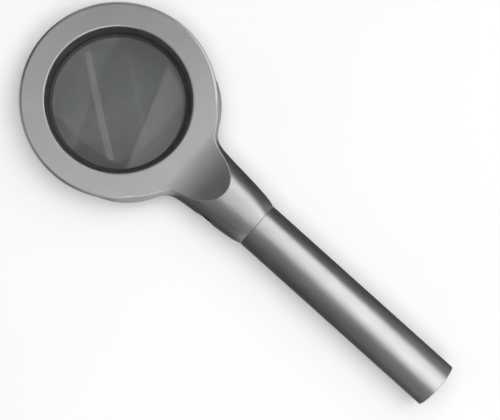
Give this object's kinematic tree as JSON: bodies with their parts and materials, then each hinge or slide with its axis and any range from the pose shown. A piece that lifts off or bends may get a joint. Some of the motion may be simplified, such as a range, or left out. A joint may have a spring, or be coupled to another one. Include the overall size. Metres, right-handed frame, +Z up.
{
  "type": "low vision magnifier",
  "caption": "Illuminated hand magnifier: a thick round lens in a wide flat ring, scooped into a flared neck and a straight battery handle with a side push button",
  "frame": {"origin": "Middle of the magnifier's length and width, on the surface it lies on", "axes": "+X runs from the lens along the handle to its closed end, +Y is the side away from the push button, +Z is up out of the ring's bezel face"},
  "size_m": [0.2542, 0.0958, 0.024],
  "materials": {
    "body_silver": "satin silver-grey, very fine blasted grain",
    "clear_lens": "polished clear lens",
    "seal_rubber": "matt black rubber",
    "frosted_window": "frosted translucent",
    "board_white": "white solder mask",
    "board_green": "green solder mask",
    "led_package": "white package with yellow phosphor",
    "chip_black": "moulded black epoxy",
    "switch_cream": "plain moulded",
    "screw_steel": "bright zinc plated",
    "spring_steel": "drawn wire",
    "button_black": "fine matt texture",
    "lead_red": "insulated lead",
    "lead_black": "insulated lead",
    "collar_brass": "turned",
    "ring_black": "black, faintly satin",
    "sleeve_black": "moulded",
    "cell_wrap": "plain printed sleeve, no lettering"
  },
  "bodies": {
    "head": {"top_shell": "body_silver", "bottom_shell": "body_silver", "lens_retaining_ring": "ring_black", "lens": "clear_lens", "lens_gasket": "seal_rubber", "collar_seal": "seal_rubber", "light_window": "frosted_window", "led_board": "board_white", "leds": "led_package", "led_resistors": "chip_black", "board_screws": "screw_steel", "shell_screws": "screw_steel", "driver_board": "board_green", "driver_inductor": "chip_black", "driver_chip": "chip_black", "switch_body": "chip_black", "button_guide": "button_black", "red_lamp_lead": "lead_red", "black_lamp_lead": "lead_black", "positive_battery_lead": "lead_red", "negative_battery_lead": "lead_black", "neck_collar": "collar_brass", "contact_board": "board_green", "battery_contact": "spring_steel", "button_spring": "spring_steel"},
    "button": {"power_button": "button_black", "switch_plunger": "switch_cream"},
    "battery_carrier": {"battery_sleeve": "sleeve_black", "front_cell": "cell_wrap", "rear_cell": "cell_wrap"},
    "handle": {"handle_tube": "body_silver", "tail_spring": "spring_steel"}
  },
  "joints": [
    {"name": "button_press", "type": "slide", "parent": "head", "child": "button", "axis": [0, 1, 0], "range_m": [0, 0.0007], "stiffness_N_per_m": 800, "springref_m": -0.0006, "deforming": ["button_spring"]},
    {"name": "battery_draw", "type": "slide", "parent": "head", "child": "battery_carrier", "axis": [1, 0, 0], "range_m": [0, 0.008]},
    {"name": "handle_turn", "type": "hinge", "parent": "battery_carrier", "child": "handle", "pos_m": [0.06875, 0, 0.012], "axis": [1, 0, 0], "range_deg": [0, 480]}
  ],
  "couplings": [
    {"joint": "handle_turn", "follows": "battery_draw", "rad_per_m": 1047.2}
  ]
}
